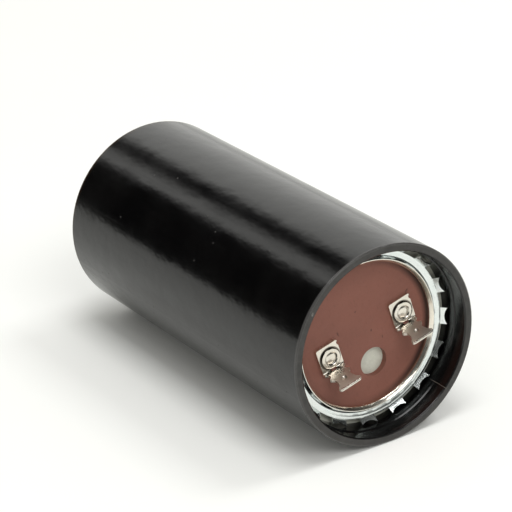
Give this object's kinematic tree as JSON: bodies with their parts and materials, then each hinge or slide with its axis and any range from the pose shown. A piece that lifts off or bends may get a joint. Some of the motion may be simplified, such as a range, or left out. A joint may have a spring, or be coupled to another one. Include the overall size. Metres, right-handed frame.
{
  "type": "motor start capacitor",
  "caption": "Round phenolic-cased motor start capacitor with a riveted quick-connect terminal cover held by a toothed spring ring.",
  "frame": {"origin": "middle of the closed base, which stands on the ground", "axes": "+Z along the case axis out of the terminal end; the two terminals lie along X and their blades fold up on the +Y side"},
  "size_m": [0.0524, 0.0524, 0.1111],
  "materials": {
    "case": "gloss",
    "rubber_seal": "matt",
    "terminal_board": "matt",
    "retaining_ring": "bright zinc plate",
    "terminal_right": "tin plated",
    "terminal_left": "tin plated",
    "terminal_rivets": "satin",
    "rivet_washers": "satin",
    "lead_tab_inner": "satin",
    "lead_tab_outer": "satin",
    "top_disc": "matt",
    "winding": "matt, electrolyte-soaked",
    "bottom_disc": "matt",
    "anchor_compound": "pitch"
  },
  "bodies": {
    "root": {"case": "case", "rubber_seal": "rubber_seal", "terminal_board": "terminal_board", "retaining_ring": "retaining_ring", "terminal_right": "terminal_right", "terminal_left": "terminal_left", "terminal_rivets": "terminal_rivets", "rivet_washers": "rivet_washers", "lead_tab_inner": "lead_tab_inner", "lead_tab_outer": "lead_tab_outer", "top_disc": "top_disc", "winding": "winding", "bottom_disc": "bottom_disc", "anchor_compound": "anchor_compound"}
  },
  "joints": []
}
